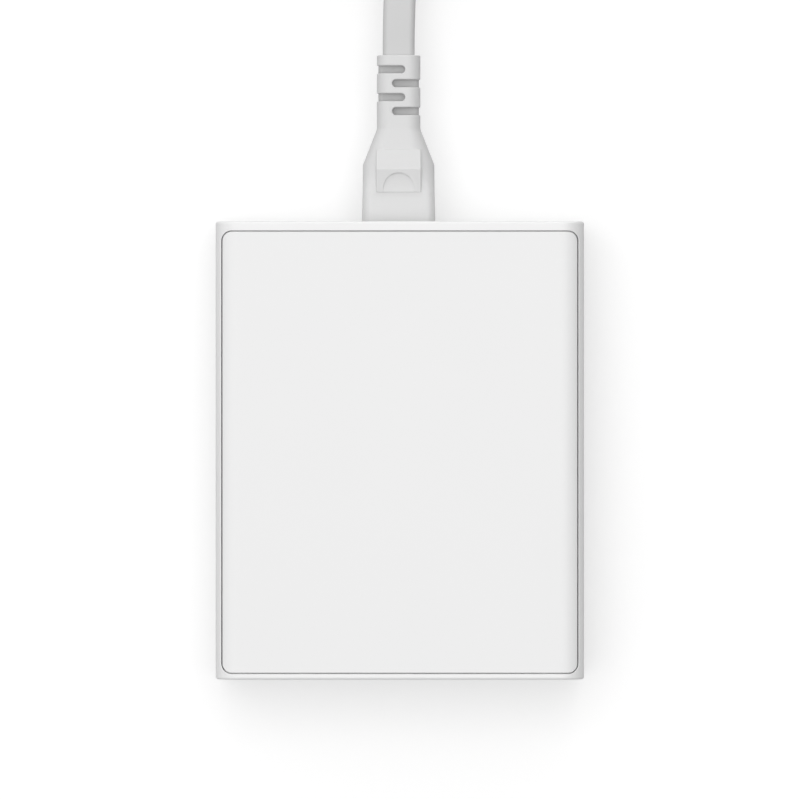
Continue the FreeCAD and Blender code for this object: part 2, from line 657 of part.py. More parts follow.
# USB ports
def build_ports():
    for number, x, kind in port_places():
        shell = new_body(f"{kind}_shell_{number}")
        ring = sketch_on(shell, "XZ_Plane", x=x, y=AXIS, z=f"-{PORT_MOUTH}")
        draw_rounded(ring, *port_outline(kind, "0"))
        draw_rounded(ring, *port_outline(kind, "-shell_wall"))
        pad(shell, ring, "port_depth", backward=True)

        tongue = new_body(f"{kind}_tongue_{number}")
        base = sketch_on(tongue, "XZ_Plane", x=x, y=AXIS, z=f"-({PORT_MOUTH} + {kind}_mouth)")
        draw_rounded(base, *port_outline(kind, "-shell_wall"))
        pad(tongue, base, f"port_depth - {kind}_mouth", backward=True)
        lift = "usb_a_tongue_lift" if kind == "usb_a" else "0"
        blade = sketch_on(tongue, "XZ_Plane", x=x, y=f"{AXIS} + {lift}", z=f"-({PORT_MOUTH} + {kind}_mouth)")
        corner = f"{kind}_tongue_height * 0.3"
        draw_rounded(blade, f"{kind}_tongue_width", f"{kind}_tongue_height", corner)
        pad(tongue, blade, f"{kind}_tongue_length")
        keep(group(list(contact_strips(x, kind))), f"{kind}_contacts_{number}")


def contact_strips(x, kind):
    """Thin metal strips on a tongue: both faces of a USB-C tongue, the lower face of a USB-A one."""
    count = USB_C_STRIPS if kind == "usb_c" else 4
    y = f"({PORT_MOUTH} + {kind}_mouth - {kind}_contact_length / 2)"
    for number in range(count):
        strip_x = f"({x} + {kind}_contact_pitch * {number - (count - 1) / 2})"
        width, length = f"{kind}_contact_width", f"{kind}_contact_length"
        if kind == "usb_c":
            upper = f"({AXIS} + usb_c_tongue_height / 2)"
            lower = f"({AXIS} - usb_c_tongue_height / 2 - contact_thickness)"
            yield block(width, length, "contact_thickness", strip_x, y, upper)
        else:
            lower = f"({AXIS} + usb_a_tongue_lift - usb_a_tongue_height / 2 - contact_thickness)"
        yield block(width, length, "contact_thickness", strip_x, y, lower)


# Mains inlet and the lead's connector
def build_inlet():
    socket = new_body("inlet_socket")
    outline = sketch_on(socket, "XZ_Plane", x="inlet_side", y=AXIS, z=f"-({BACK} - inlet_setback)")
    draw_rounded(outline, "inlet_width", "inlet_height", "inlet_corner")
    pad(socket, outline, "inlet_depth - inlet_setback")
    recess = sketch_on(socket, "XZ_Plane", x="inlet_side", y=AXIS, z=f"-{BACK}")
    draw_figure_eight(
        recess, "lobe_pitch", "(lobe_radius + lobe_clearance)", "(lobe_waist + 2 * lobe_clearance)"
    )
    pocket(socket, recess, "inlet_recess", backward=True)
    bores = sketch_on(socket, "XZ_Plane", x="inlet_side", y=AXIS, z=f"-{BACK}")
    for side in (-1, 1):
        draw_circle(bores, "pin_radius", f"{side} * pin_pitch / 2")
    pocket(socket, bores, "inlet_depth + 1", backward=True)

    pins = []
    for side in (-1, 1):
        x = f"(inlet_side + {side} * pin_pitch / 2)"
        start = f"({BACK} - inlet_depth - pin_tail)"
        straight = rod("pin_radius", "inlet_depth + pin_tail - inlet_recess + pin_reach", x, start, AXIS, "y")
        leg = rod("pin_leg_radius", "inlet_height / 2", x, f"{start} + pin_radius", BOARD_TOP)
        pins.append(fuse(straight, leg))
    keep(group(pins), "inlet_pins")


def build_plug_overmould():
    body = new_body("plug_overmould")
    sections = []
    for place_y, stage, corner in (
        (PLUG_FACE, "plug_front", "plug_front_round"),
        (f"({BACK} + plug_grip_start)", "plug_grip", "plug_front_round"),
        (f"({BACK} + plug_shoulder_start)", "plug_shoulder", "plug_shoulder_round"),
        (RELIEF_START, "relief", "relief_round"),
    ):
        section = sketch_on(body, "XZ_Plane", x="inlet_side", y=AXIS, z=f"-{place_y}")
        draw_rounded(section, f"{stage}_width", f"{stage}_height", corner)
        sections.append(section)
    loft = body.newObject("PartDesign::AdditiveLoft", "Loft")
    loft.Profile = sections[0]
    loft.Sections = sections[1:]
    loft.Ruled = True
    doc.recompute()

    # Figure-of-eight end that goes into the inlet, with a hole for each tube contact
    insert = sketch_on(body, "XZ_Plane", x="inlet_side", y=AXIS, z=f"-{PLUG_FACE}")
    draw_figure_eight(insert, "lobe_pitch", "lobe_radius", "lobe_waist")
    pad(body, insert, "insert_length")
    holes = sketch_on(body, "XZ_Plane", x="inlet_side", y=AXIS, z=f"-{PLUG_TIP}")
    for side in (-1, 1):
        radius = "pin_radius + 2 * contact_clearance + contact_wall"
        draw_circle(holes, radius, f"{side} * pin_pitch / 2")
    pocket(body, holes, "contact_length + part_gap")

    # Raised finger pads above and below, each with a half-round thumb scoop
    pad_low = "(plug_grip_height / 2 + grip_step)"
    ridge = f"({pad_low} + grip_ridge)"
    for side in (1, -1):
        profile = sketch_on(body, "YZ_Plane", x=BACK, y=AXIS, z="inlet_side")
        corners = [
            ("plug_grip_start", "0"),
            ("plug_grip_start", pad_low),
            ("grip_ridge_start", ridge),
            ("grip_pad_end", f"({ridge} - grip_outer_drop)"),
            ("grip_pad_end", "0"),
        ]
        draw_polygon(profile, [(y, f"{side} * {z}") for y, z in corners])
        pad(body, profile, "grip_pad_width", symmetric=True)
    for side in (1, -1):
        middle = f"{BACK} + plug_grip_start + scoop_inset"
        scoop = sketch_on(body, "XY_Plane", x="inlet_side", y=middle, z=f"{AXIS} + {side} * {pad_low}")
        draw_circle(scoop, "scoop_radius")
        pocket(body, scoop, "grip_ridge + 1", backward=side > 0)

    # Strain relief: slots from alternate sides down to the core that holds the cord
    relief = sketch_on(body, "XZ_Plane", x="inlet_side", y=AXIS, z=f"-{RELIEF_START}")
    draw_rounded(relief, "relief_width", "relief_height", "relief_round")
    pad(body, relief, "relief_length", backward=True)
    cut_relief_slots(body)
    core = sketch_on(body, "XZ_Plane", x="inlet_side", y=AXIS, z=f"-{RELIEF_START}")
    draw_rounded(core, "core_width", "core_height", "core_round")
    pad(body, core, "relief_length", backward=True)

    # Soft edges: where the taper meets the strain relief, round the pads, and round the slots
    axis, relief_start = measure(AXIS), measure(RELIEF_START)
    round_edges(body, "relief_blend", lambda edge: lies_on(edge, "y", relief_start))
    pad_heights = (measure(ridge), measure(f"{ridge} - grip_outer_drop"))
    relief_sides = [measure(f"{AXIS} + {side} * relief_height / 2") for side in (1, -1)]

    def is_soft(edge):
        """An edge of a finger pad's top, or of a slot or the end in the strain relief's flat sides."""
        box = edge.BoundBox
        height = max(abs(box.ZMin - axis), abs(box.ZMax - axis))
        on_pad = any(abs(height - level) < 1e-3 for level in pad_heights)
        on_side = any(lies_on(edge, "z", level) for level in relief_sides)
        return (on_pad and box.YMax < relief_start) or (on_side and box.XLength > 1e-3)

    round_edges(body, "moulded_edge", is_soft)
    return body


def cut_relief_slots(body):
    """Slots across the strain relief from alternate sides, counted from the cord's end of it."""
    length = "(relief_width / 2 + 1 + slot_overreach)"
    for number in range(RELIEF_SLOTS):
        side = -1 if number % 2 == 0 else 1
        x = f"inlet_side + {side} * (relief_width / 2 + 1 - slot_overreach) / 2"
        y = f"{RELIEF_END} - slot_inset - {number} * slot_pitch"
        slot = sketch_on(body, "XY_Plane", x=x, y=y, z=AXIS)
        draw_rounded(slot, length, "slot_width", f"slot_width * {ALMOST_HALF}")
        pocket(body, slot, "relief_height + 2", symmetric=True)


def build_plug_contacts():
    tubes = []
    for side in (-1, 1):
        x = f"(inlet_side + {side} * pin_pitch / 2)"
        start = f"({PLUG_TIP} + part_gap / 2)"
        inner = "(pin_radius + contact_clearance)"
        tube = rod(f"{inner} + contact_wall", "contact_length", x, start, AXIS, "y")
        bore = rod(inner, "contact_length + 2", x, f"{start} - 1", AXIS, "y")
        tubes.append(cut(tube, bore))
    keep(group(tubes), "plug_contacts")


# Cord, coil and mains plug
def tangent_path(points):
    """Straight runs joined by tangent arcs, each as large as its two runs allow."""
    points = [FreeCAD.Vector(*point) for point in points]
    edges, start, radii = [], points[0], []
    for before, corner, after in zip(points, points[1:], points[2:]):
        back, ahead = before - corner, after - corner
        half_turn = (math.pi - back.getAngle(ahead)) / 2
        reach = ARC_SHARE * min(back.Length, ahead.Length)
        radii.append(reach / math.tan(half_turn))
        entry = corner + back.normalize() * reach
        leave = corner + ahead.normalize() * reach
        inward = (back + ahead).normalize()
        middle = corner + inward * (radii[-1] / math.cos(half_turn) - radii[-1])
        edges.append(Part.LineSegment(start, entry).toShape())
        edges.append(Part.Arc(entry, middle, leave).toShape())
        start = leave
    edges.append(Part.LineSegment(start, points[-1]).toShape())
    print("cord radii", [round(radius, 1) for radius in radii])
    return Part.Wire(edges)


def cord_outline(origin, across, upward):
    """The cord's section round a point, as a closed wire: four corner arcs joined by straight sides."""
    half_width, half_height, bend = (
        measure(text) for text in ("cord_width / 2", "cord_thickness / 2", "cord_round"))
    arcs = []
    for side, level in ((1, 1), (-1, 1), (-1, -1), (1, -1)):
        middle = origin + across * (side * (half_width - bend)) + upward * (level * (half_height - bend))
        outward, along = across * (side * bend), upward * (level * bend)
        first, last = (outward, along) if side == level else (along, outward)
        corner = (outward + along) * math.sqrt(0.5)
        arcs.append(Part.Arc(middle + first, middle + corner, middle + last))
    edges = []
    for arc, following in zip(arcs, arcs[1:] + arcs[:1]):
        edges.append(arc.toShape())
        edges.append(Part.LineSegment(arc.EndPoint, following.StartPoint).toShape())
    return Part.Wire(edges)


def build_cord(label, course, side, start, end, coil):
    """A flat tube along a course from one (y, z) place to another, cut off at the side of the coil."""
    x, start_y, start_z, end_y, end_z = (measure(text) for text in (side, *start, *end))
    span, fall = end_y - start_y, end_z - start_z
    route = [(x, start_y + way * span, start_z + drop * fall) for way, drop in course]
    path = tangent_path(route)
    origin = FreeCAD.Vector(*route[0])
    across = FreeCAD.Vector(1, 0, 0)
    upward = across.cross(FreeCAD.Vector(*route[1]) - origin).normalize()
    section = cord_outline(origin, across, upward)
    tube = path.makePipeShell([section], True, False)
    expected = Part.Face(section).Area * path.Length
    print(label, "volume", round(tube.Volume, 2), "section times length", round(expected, 2))
    item = doc.addObject("Part::Feature", label)
    item.Shape = tube.cut(coil.Shape)
    keep(item, label)


def build_coil():
    body = new_body("cord_coil")
    ring = sketch_on(body, "XY_Plane", x=COIL_X, y=COIL_Y, z="tie_thickness")
    draw_circle(ring, COIL_OUTER)
    draw_circle(ring, COIL_INNER)
    pad(body, ring, COIL_HEIGHT)
    round_edges(body, "cord_thickness / 3", lambda edge: edge.BoundBox.ZLength < 1e-3)
    return body


def build_coil_tie():
    middle = f"({COIL_X} - coil_radius)"
    thick = f"({COIL_COLUMNS} * {TURN_STEP} + 2 * tie_play)"
    band = block(f"{thick} + 2 * tie_thickness", "tie_width", f"{COIL_HEIGHT} + 2 * tie_thickness",
                 middle, COIL_Y)
    inside = block(thick, "tie_width + 2", COIL_HEIGHT, middle, COIL_Y, "tie_thickness")
    keep(cut(band, inside), "coil_tie")


def build_mains_plug():
    body = new_body("mains_plug_body")
    outline = sketch_on(body, "XY_Plane", x="mains_side", y=MAINS_START, z=MAINS_AXIS)
    half = [
        ("mains_neck_width / 2", "0"),
        ("mains_width / 2", "mains_taper_length"),
        ("mains_width / 2", "mains_length - mains_nose"),
        ("mains_width / 2 - mains_nose", "mains_length"),
    ]
    draw_polygon(outline, half + [(f"-({x})", y) for x, y in reversed(half)])
    pad(body, outline, "mains_thickness", symmetric=True)
    levels = (0, measure("mains_thickness"))
    round_edges(body, "mains_round", lambda edge: any(lies_on(edge, "z", level) for level in levels))
    for level, upward in (("mains_thickness - mains_grip_depth", True), ("mains_grip_depth", False)):
        for number in range(MAINS_GRIPS):
            y = f"{MAINS_START} + mains_taper_length + {number} * mains_grip_pitch"
            grip = sketch_on(body, "XY_Plane", x="mains_side", y=y, z=level)
            width = "(mains_grip_pitch / 2)"
            draw_rounded(grip, "mains_grip_width", width, f"{width} * {ALMOST_HALF}")
            pocket(body, grip, "mains_grip_depth + 1", backward=upward)
    relief = sketch_on(body, "XZ_Plane", x="mains_side", y=MAINS_AXIS, z=f"-{MAINS_RELIEF}")
    draw_rounded(relief, "relief_width", "relief_height", "relief_round")
    pad(body, relief, "mains_relief_length + mains_round", backward=True)

    pins, sleeves = [], []
    for side in (-1, 1):
        x = f"(mains_side + {side} * mains_pin_pitch / 2)"
        tip_start = f"({MAINS_FACE} + mains_sleeve_length)"
        straight = "(mains_tip_length - mains_tip_round)"
        core = rod("mains_pin_core", "mains_sleeve_length", x, MAINS_FACE, MAINS_AXIS, "y")
        tip = rod("mains_pin_radius", straight, x, tip_start, MAINS_AXIS, "y")
        end = taper("mains_pin_radius", "mains_pin_radius - mains_tip_round * 0.6", "mains_tip_round",
                    x, f"{tip_start} + {straight}", MAINS_AXIS, "y")
        pins.append(fuse(core, tip, end))
        sleeve = rod("mains_sleeve_radius", "mains_sleeve_length", x, MAINS_FACE, MAINS_AXIS, "y")
        bore = rod("mains_pin_core", "mains_sleeve_length + 2", x, f"{MAINS_FACE} - 1", MAINS_AXIS, "y")
        sleeves.append(cut(sleeve, bore))
    keep(group(pins), "mains_plug_pins")
    keep(group(sleeves), "mains_pin_sleeves")


# Boards and components
def build_boards():
    board = block(BOARD_WIDTH, BOARD_LENGTH, "board_thickness", z=f"{BOARD_TOP} - board_thickness")
    holes = []
    for side in (-1, 1):
        for end in (-1, 1):
            radius = "post_pin_radius + seat_clearance"
            x, y = f"{side} * {POST_X}", f"{end} * {POST_Y}"
            holes.append(rod(radius, "board_thickness + 2", x, y, f"{BOARD_TOP} - board_thickness - 1"))
    keep(cut(board, *holes), "main_board")
    height = "inlet_height / 2 + port_board_rise"
    middle = f"{PORT_END} + board_thickness / 2"
    upright = block(BOARD_WIDTH, "board_thickness", height, y=middle, z=BOARD_TOP)
    keep(upright, "port_board")
    pins = []
    for number in range(HEADER_PINS):
        x = f"header_pitch * {number - (HEADER_PINS - 1) / 2}"
        y = f"{PORT_BOARD_BACK} + header_pin / 2"
        pins.append(block("header_pin", "header_pin", "header_height", x, y, BOARD_TOP))
    keep(group(pins), "board_pins")


def build_wound_core(name, winding_name, x, y, height, kind):
    """A closed ferrite core whose middle leg carries a winding."""
    width, depth, leg, window = (f"{kind}_{what}" for what in ("width", "depth", "leg", "window"))
    core = block(width, depth, height, x, y, BOARD_TOP)
    opening_height = f"({height} - 2 * core_yoke)"
    openings = []
    for side in (-1, 1):
        opening_x = f"({x} + {side} * ({leg} + {window}) / 2)"
        opening = block(window, f"{depth} + 2", opening_height, opening_x, y, f"{BOARD_TOP} + core_yoke")
        openings.append(opening)
    keep(cut(core, *openings), name)
    turns = block(
        f"{leg} + 2 * {window} - 2 * winding_clearance",
        f"{depth} + 2 * winding_bulge",
        f"{opening_height} - winding_clearance",
        x, y, f"{BOARD_TOP} + core_yoke",
    )
    hole = block(
        f"{leg} + 2 * winding_clearance", f"{depth} + 2 * winding_clearance", f"{opening_height} + 2",
        x, y, f"{BOARD_TOP} + core_yoke - 1",
    )
    keep(cut(turns, hole), winding_name)


def build_power_parts():
    left = f"(-{INSIDE_WIDTH} / 2)"
    bulk_x = f"({left} + part_gap + bulk_radius)"
    transformer_x = f"({bulk_x} + bulk_radius + part_gap + transformer_width / 2)"
    inductor_x = f"({transformer_x} + transformer_width / 2 + part_gap + inductor_width / 2)"
    for kind, x in (("transformer", transformer_x), ("inductor", inductor_x)):
        build_wound_core(f"{kind}_core", f"{kind}_winding", x, "transformer_y", TALL, kind)

    cans = []
    for number in range(BULK_CANS):
        start = f"({BARRIER_BACK} + part_gap + {number} * (bulk_length + part_gap))"
        z = f"{BOARD_TOP} + bulk_radius"
        can = rod("bulk_radius", "bulk_length", bulk_x, start, z, "y")
        ring = cut(
            rod("bulk_radius + 1", "bulk_bead", bulk_x, f"{start} + 2 * bulk_bead", z, "y"),
            rod("bulk_radius - bulk_bead", "3 * bulk_bead", bulk_x, f"{start} + bulk_bead", z, "y"),
        )
        cans.append(cut(can, ring))
    keep(group(cans), "bulk_capacitors")

    # Pads between the two tall cores and the spreader under the cover
    pads = []
    for x, kind in ((transformer_x, "transformer"), (inductor_x, "inductor")):
        core_top = f"{BOARD_TOP} + {TALL}"
        pads.append(block(f"{kind}_width", f"{kind}_depth", "pad_thickness", x, "transformer_y", core_top))
    keep(group(pads), "thermal_pad")
    spreader = block(
        f"{INSIDE_WIDTH} - 2 * spreader_inset", f"{INSIDE_LENGTH} - 4 * spreader_inset",
        "spreader_thickness", z=f"{COVER_UNDER} - spreader_thickness",
    )
    keep(spreader, "heat_spreader")

    # Power switches on an upright heat sink behind the transformer
    sink_x = f"({transformer_x} + (sink_width - transformer_width) / 2)"
    sink_y = "(transformer_y + transformer_depth / 2 + winding_bulge + part_gap + sink_thickness / 2)"
    upright = block("sink_width", "sink_thickness", "sink_height", sink_x, sink_y, BOARD_TOP)
    foot_y = f"({sink_y} + sink_thickness / 2 + sink_foot / 2)"
    foot = block("sink_width", "sink_foot", "sink_thickness", sink_x, foot_y, BOARD_TOP)
    keep(fuse(upright, foot), "switch_heat_sink")
    switches = []
    for side in (-1, 1):
        x = f"{sink_x} + {side} * sink_width / 4"
        y = f"{sink_y} + (sink_thickness + switch_thickness) / 2"
        z = f"{BOARD_TOP} + sink_thickness"
        switches.append(block("switch_size", "switch_thickness", "switch_size", x, y, z))
    keep(group(switches), "switch_packages")


def build_mains_parts():
    """The filter and protection parts beside the inlet."""
    beside_inlet = "(inlet_width / 2 + part_gap)"
    back = f"({BACK} - wall - part_gap)"
    filter_x = f"({beside_inlet} + filter_width / 2)"
    filter_y = f"({back} - filter_depth / 2 - winding_bulge)"
    names = ("line_filter_core", "line_filter_windings")
    build_wound_core(*names, filter_x, filter_y, "filter_height", "filter")

    film_x = f"(-{beside_inlet} - film_width / 2)"
    film = block("film_width", "film_depth", "film_height", film_x, f"{back} - film_depth / 2", BOARD_TOP)
    keep(film, "film_capacitor")
    bridge_y = f"({back} - film_depth - part_gap - bridge_depth / 2)"
    bridge = block("bridge_width", "bridge_depth", "bridge_height", film_x, bridge_y, BOARD_TOP)
    keep(bridge, "bridge_rectifier")
    fuse_y = f"({bridge_y} - bridge_depth / 2 - part_gap - fuse_radius)"
    fuse_x = f"(-{beside_inlet} - fuse_length)"
    keep(rod("fuse_radius", "fuse_length", fuse_x, fuse_y, f"{BOARD_TOP} + fuse_radius", "x"), "fuse")
    surge_y = f"({filter_y} - filter_depth / 2 - winding_bulge - part_gap - surge_thickness)"
    disc = rod("surge_radius", "surge_thickness", filter_x, surge_y, f"{BOARD_TOP} + surge_radius", "y")
    keep(disc, "surge_disc")


def build_output_parts():
    """The low-voltage side, between the port board and the insulating sheet."""
    edge = f"({BOARD_WIDTH} / 2 - part_gap)"
    cans, chokes = [], []
    for number in range(OUTPUT_PARTS):
        can_x = f"({number} * output_pitch + can_radius - {edge})"
        cans.append(rod("can_radius", "can_height", can_x, OUTPUT_ROW, BOARD_TOP))
        choke_x = f"({edge} - choke_size / 2 - {number} * output_pitch)"
        chokes.append(block("choke_size", "choke_size", "choke_height", choke_x, OUTPUT_ROW, BOARD_TOP))
    keep(group(cans), "output_capacitors")
    keep(group(chokes), "output_inductors")
    barrier_width = f"({BOARD_WIDTH} - 2 * barrier_inset)"
    barrier_y = f"({BARRIER_BACK} - barrier_thickness / 2)"
    barrier = block(barrier_width, "barrier_thickness", "barrier_height", y=barrier_y, z=BOARD_TOP)
    keep(barrier, "insulating_barrier")
    discs = []
    for side in (-1, 1):
        x = f"{side} * output_pitch"
        y = f"{BARRIER_BACK} + part_gap / 2"
        discs.append(rod("disc_radius", "disc_thickness", x, y, f"{BOARD_TOP} + disc_radius", "y"))
    keep(group(discs), "safety_capacitors")


def export():
    doc.recompute()
    for item in doc.Objects:
        if "Invalid" in item.State or "Error" in item.State:
            raise RuntimeError(f"{item.Name} failed: {item.State}")
    os.makedirs("parts", exist_ok=True)
    for item in PIECES:
        if item.Shape.isNull() or not item.Shape.isValid() or not item.Shape.Solids:
            raise RuntimeError(f"{item.Label} has no valid solid")
        item.Shape.exportStep(f"parts/{item.Label}.step")


build_lower_housing()
build_top_cover()
build_rubber_feet()
build_ports()
build_inlet()
build_plug_overmould()
build_plug_contacts()
coil = build_coil()
coil_entry = (f"{COIL_Y} - {LEAD_MEET}", UPPER_LAYER)
coil_leave = (f"{COIL_Y} + {TAIL_MEET}", LOWER_LAYER)
build_cord("cord_lead", LEAD_COURSE, "inlet_side", (RELIEF_END, AXIS), coil_entry, coil)
build_cord("cord_tail", TAIL_COURSE, "mains_side", coil_leave, (MAINS_RELIEF, MAINS_AXIS), coil)
build_coil_tie()
build_mains_plug()
build_boards()
build_power_parts()
build_mains_parts()
build_output_parts()
export()
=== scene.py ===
"""Looks of a flat desktop USB charger with its detachable mains lead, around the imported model."""

import math

import bmesh
import bpy
import mathutils
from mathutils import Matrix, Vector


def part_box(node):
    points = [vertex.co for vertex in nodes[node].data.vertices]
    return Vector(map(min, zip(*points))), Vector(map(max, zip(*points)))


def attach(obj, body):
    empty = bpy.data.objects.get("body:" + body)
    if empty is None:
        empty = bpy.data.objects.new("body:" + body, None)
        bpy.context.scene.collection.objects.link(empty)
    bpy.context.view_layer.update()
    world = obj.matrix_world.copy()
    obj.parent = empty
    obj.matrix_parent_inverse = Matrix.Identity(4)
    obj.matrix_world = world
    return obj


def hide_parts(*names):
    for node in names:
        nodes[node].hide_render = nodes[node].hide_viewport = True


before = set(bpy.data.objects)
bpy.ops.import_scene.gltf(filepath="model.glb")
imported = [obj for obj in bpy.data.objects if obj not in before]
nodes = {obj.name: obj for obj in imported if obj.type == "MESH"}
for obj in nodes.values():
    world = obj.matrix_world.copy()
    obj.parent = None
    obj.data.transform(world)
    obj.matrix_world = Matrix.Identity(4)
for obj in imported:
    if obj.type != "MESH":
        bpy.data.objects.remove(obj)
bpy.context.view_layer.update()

# Housing: the moulded tub that carries everything. It is injection moulded in white polycarbonate
# and ABS, in a tool whose walls are finely spark eroded, so it is satin and not mirror smooth.
MM = 0.001


def linear(hex_colour):
    """An sRGB hex colour as linear red, green, blue and alpha."""
    channels = [int(hex_colour[place:place + 2], 16) / 255 for place in (1, 3, 5)]
    curve = [c / 12.92 if c <= 0.04045 else ((c + 0.055) / 1.055) ** 2.4 for c in channels]
    return (*curve, 1.0)


def add_node(material, kind, inputs=None, **settings):
    """A node with its settings; an input takes a value, or an output socket to link from."""
    tree = material.node_tree
    node = tree.nodes.new(kind)
    for name, value in settings.items():
        setattr(node, name, value)
    for name, value in (inputs or {}).items():
        if isinstance(value, bpy.types.NodeSocket):
            tree.links.new(value, node.inputs[name])
        else:
            node.inputs[name].default_value = value
    return node


def new_material(name, **shader_values):
    """An empty material with a Principled shader; returns it with the shader and its coordinates."""
    material = bpy.data.materials.new(name)
    material.use_nodes = True
    shader = material.node_tree.nodes["Principled BSDF"]
    for socket, value in shader_values.items():
        shader.inputs[socket.replace("_", " ")].default_value = value
    place = add_node(material, "ShaderNodeTexCoord").outputs["Object"]
    return material, shader, place


def finish_surface(material, shader, place, light, dark, patch_mm, grain_mm, depth_mm, rough):
    """Slow colour drift, uneven gloss and a fine bump: what a moulded or cast skin shows."""
    link = material.node_tree.links.new
    patch = add_node(material, "ShaderNodeTexNoise", {
        "Vector": place, "Scale": 1 / (patch_mm * MM), "Detail": 3.0, "Roughness": 0.55})
    colour = add_node(material, "ShaderNodeMix", {
        "Factor": patch.outputs["Fac"], 6: linear(dark), 7: linear(light)}, data_type="RGBA")
    link(colour.outputs[2], shader.inputs["Base Color"])
    gloss = add_node(material, "ShaderNodeMapRange", {
        "Value": patch.outputs["Fac"], "From Min": 0.3, "From Max": 0.7,
        "To Min": rough[0], "To Max": rough[1]})
    link(gloss.outputs["Result"], shader.inputs["Roughness"])
    grain = add_node(material, "ShaderNodeTexNoise", {
        "Vector": place, "Scale": 1 / (grain_mm * MM), "Detail": 2.0, "Roughness": 0.6})
    bump = add_node(material, "ShaderNodeBump", {
        "Height": grain.outputs["Fac"], "Distance": depth_mm * MM, "Strength": 0.5})
    link(bump.outputs["Normal"], shader.inputs["Normal"])
    return material


def dress(material, *names):
    """Give CAD nodes one material in place of the one they were packed with."""
    for name in names:
        nodes[name].data.materials.clear()
        nodes[name].data.materials.append(material)


# Spark-eroded white PC/ABS: an even satin white; the grain is drawn at 0.25 mm so that it shows
housing_plastic = finish_surface(
    *new_material("satin_white_pc_abs", IOR=1.58), "#ECECEC", "#E9E9E9",
    patch_mm=14, grain_mm=0.25, depth_mm=0.004, rough=(0.40, 0.48))
dress(housing_plastic, "lower_housing")

# Top cover: the inset lid, welded on its ledge inside a fine groove. Same plastic, from a tool with
# a softer blast, so it is a shade more matt than the tub.
cover_plastic = finish_surface(
    *new_material("matt_white_pc_abs", IOR=1.58), "#ECECEC", "#EAEAEA",
    patch_mm=20, grain_mm=0.3, depth_mm=0.003, rough=(0.56, 0.64))
dress(cover_plastic, "top_cover")

# Rubber feet: four discs of grey silicone rubber that keep the charger from sliding. They are pressed
# into shallow seats under the floor, and a fine dull skin shows where they stand proud.
foot_rubber = finish_surface(
    *new_material("grey_silicone_rubber", IOR=1.41), "#B4B4B6", "#A6A6A9",
    patch_mm=2, grain_mm=0.4, depth_mm=0.01, rough=(0.65, 0.8))
dress(foot_rubber, "rubber_feet")

# USB ports: nickel-plated steel shells, folded from sheet, each around a moulded tongue that carries
# gold-plated contact strips.
LINE_DEPTH = 0.004 * MM


def brushed_metal(name, light, dark, rough, stretch, line_mm):
    """Rolled or drawn metal: fine lines along one direction break up its reflection."""
    material, shader, place = new_material(name, Metallic=1.0)
    link = material.node_tree.links.new
    turned = add_node(material, "ShaderNodeMapping", {"Vector": place, "Scale": stretch})
    lines = add_node(material, "ShaderNodeTexNoise", {
        "Vector": turned.outputs["Vector"], "Scale": 1 / (line_mm * MM), "Detail": 3.0})
    colour = add_node(material, "ShaderNodeMix", {
        "Factor": lines.outputs["Fac"], 6: linear(dark), 7: linear(light)}, data_type="RGBA")
    link(colour.outputs[2], shader.inputs["Base Color"])
    gloss = add_node(material, "ShaderNodeMapRange", {
        "Value": lines.outputs["Fac"], "From Min": 0.3, "From Max": 0.7,
        "To Min": rough[0], "To Max": rough[1]})
    link(gloss.outputs["Result"], shader.inputs["Roughness"])
    bump = add_node(material, "ShaderNodeBump", {
        "Height": lines.outputs["Fac"], "Distance": LINE_DEPTH, "Strength": 0.4})
    link(bump.outputs["Normal"], shader.inputs["Normal"])
    return material


# Nickel plate on rolled sheet: bright, with what it mirrors drawn out along the port
shell_steel = brushed_metal(
    "nickel_plated_steel", "#CFCFD1", "#B9B9BC", (0.22, 0.34), stretch=(1, 0.08, 1), line_mm=0.2)
# Gold plate on drawn bronze: a warm glint on each strip
contact_gold = brushed_metal(
    "gold_plated_bronze", "#E8C673", "#D9B25A", (0.2, 0.3), stretch=(1, 0.1, 1), line_mm=0.15)
# Moulded nylon: dull and even, black in the USB-C ports and white in the USB-A ones
black_nylon = finish_surface(
    *new_material("black_moulded_nylon", IOR=1.53), "#1B1B1C", "#141415",
    patch_mm=2, grain_mm=0.15, depth_mm=0.004, rough=(0.45, 0.55))
white_nylon = finish_surface(
    *new_material("white_moulded_nylon", IOR=1.53), "#E6E6E5", "#E0E0DF",
    patch_mm=2, grain_mm=0.15, depth_mm=0.004, rough=(0.42, 0.52))
for number in (1, 2):
    dress(shell_steel, f"usb_c_shell_{number}", f"usb_a_shell_{number}")
    dress(contact_gold, f"usb_c_contacts_{number}", f"usb_a_contacts_{number}")
    dress(black_nylon, f"usb_c_tongue_{number}")
    dress(white_nylon, f"usb_a_tongue_{number}")

# Mains inlet: a white nylon socket let into the back wall, with two drawn brass pins that are nickel
# plated, and the tube contacts of the connector on them.

# Nickel plate on drawn brass: a warmer white metal, with faint lines along each pin
pin_nickel = brushed_metal(
    "nickel_plated_brass", "#D6D3CB", "#C4C0B6", (0.18, 0.3), stretch=(1, 0.06, 1), line_mm=0.25)
dress(white_nylon, "inlet_socket")
dress(pin_nickel, "inlet_pins", "plug_contacts", "mains_plug_pins")

# Circuit boards and what is soldered to them, inside the closed housing. Glass-fibre board under a
# green lacquer, black ferrite cores with yellow tape over their copper, sleeved aluminium cans.

# Lacquer over glass fibre: green, with a thin gloss coat
board_lacquer = finish_surface(
    *new_material("green_solder_lacquer", IOR=1.52, Coat_Weight=0.4), "#1F6B3A", "#17562D",
    patch_mm=6, grain_mm=0.4, depth_mm=0.01, rough=(0.3, 0.42))
# Sintered ferrite: dark grey, dull and slightly pitted
ferrite = finish_surface(
    *new_material("sintered_ferrite", IOR=1.8), "#3A3A3C", "#2C2C2E",
    patch_mm=3, grain_mm=0.2, depth_mm=0.02, rough=(0.55, 0.7))
